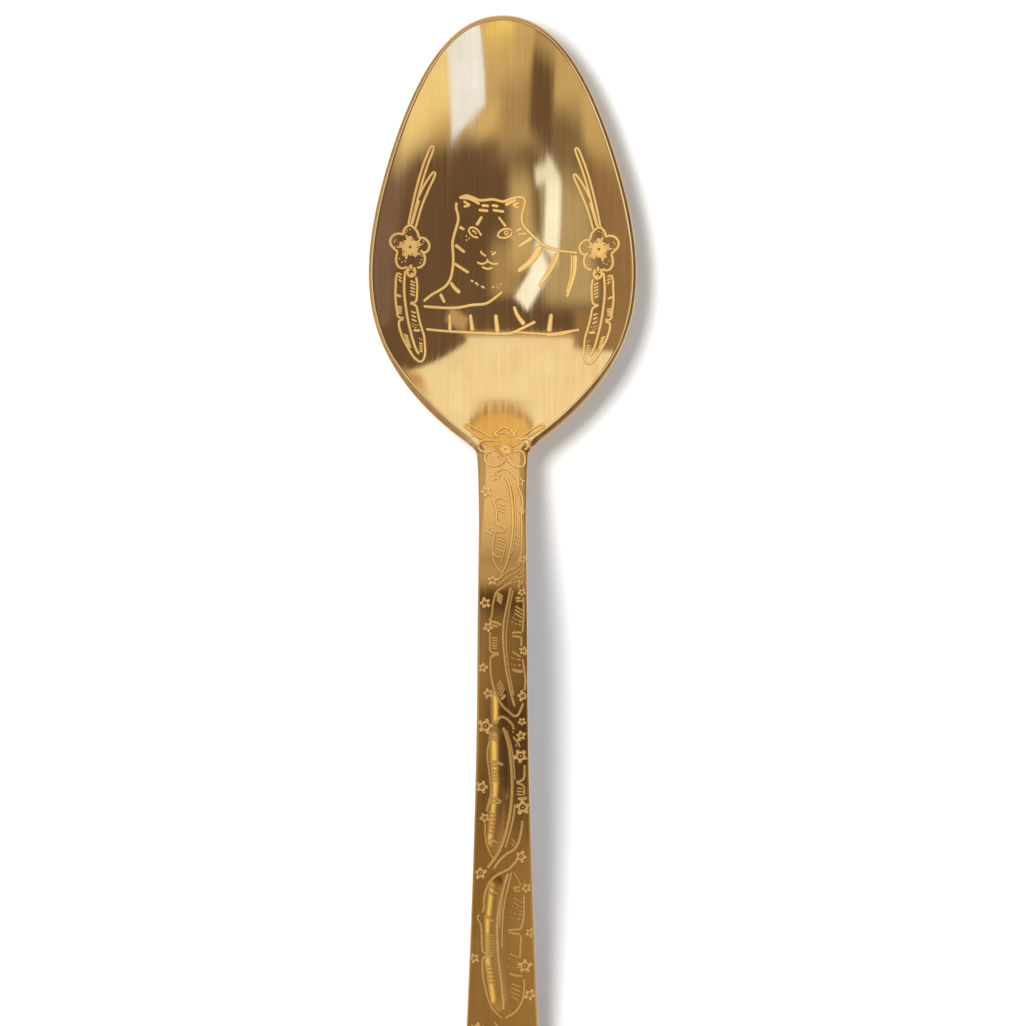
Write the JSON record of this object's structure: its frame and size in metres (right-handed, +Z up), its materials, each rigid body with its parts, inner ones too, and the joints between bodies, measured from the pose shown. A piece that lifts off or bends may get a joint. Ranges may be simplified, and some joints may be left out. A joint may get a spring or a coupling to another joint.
{
  "type": "souvenir spoon",
  "caption": "Gold-toned souvenir teaspoon with an egg-shaped bowl and an arched, flared handle, struck with a lying tiger, blossom sprigs and leaves.",
  "frame": {"origin": "middle of the spoon's length and width, at the level of the table it lies on", "axes": "+Y along the spoon towards the tip of the bowl, +Z up out of the bowl, +X to the right seen from above with the tip away from the viewer"},
  "size_m": [0.0304, 0.14, 0.0172],
  "materials": {
    "bowl_gilt": "gold-toned, lengthwise brushed and polished",
    "handle_gilt": "gold-toned, polished, slightly deeper in tone",
    "struck_satin": "satin raised lines"
  },
  "bodies": {
    "root": {"bowl": "bowl_gilt", "handle": "handle_gilt", "tiger_outline": "struck_satin", "tiger_face": "struck_satin", "tiger_stripes": "struck_satin", "tiger_paws": "struck_satin", "left_needles": "struck_satin", "left_blossom": "struck_satin", "left_leaf": "struck_satin", "right_needles": "struck_satin", "right_blossom": "struck_satin", "right_leaf": "struck_satin", "neck_needles": "struck_satin", "neck_blossom": "struck_satin", "handle_leaf_1": "struck_satin", "handle_leaf_2": "struck_satin", "handle_leaf_3": "struck_satin", "handle_leaf_4": "struck_satin", "handle_leaf_5": "struck_satin", "handle_twigs": "struck_satin", "handle_blossoms": "struck_satin", "end_blossom": "struck_satin"}
  },
  "joints": []
}
